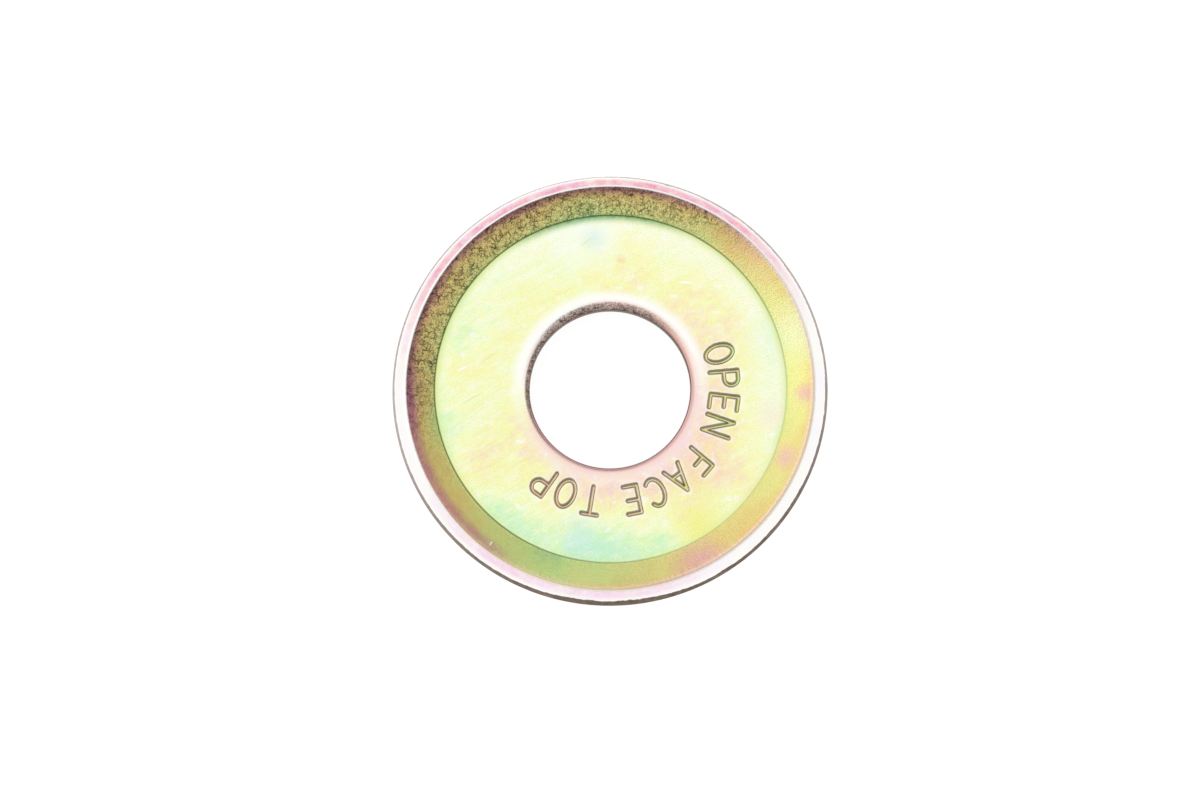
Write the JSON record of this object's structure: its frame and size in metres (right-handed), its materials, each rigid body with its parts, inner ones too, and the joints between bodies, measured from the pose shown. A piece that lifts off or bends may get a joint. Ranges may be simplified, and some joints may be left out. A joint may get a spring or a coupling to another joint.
{
  "type": "cup washer",
  "caption": "Dished steel washer with a punched bolt hole, a flat floor, a shallow sloping wall and a bevelled, sheared rim, finished in yellow zinc plating.",
  "frame": {"origin": "on the bolt hole's axis, at the level of the flat underside", "axes": "+Z along the bolt hole's axis, out of the open side of the cup"},
  "size_m": [0.0444, 0.0444, 0.0031],
  "materials": {
    "plated_steel": "bright yellow zinc plating with a faint rainbow sheen"
  },
  "bodies": {
    "root": {"washer": "plated_steel"}
  },
  "joints": []
}
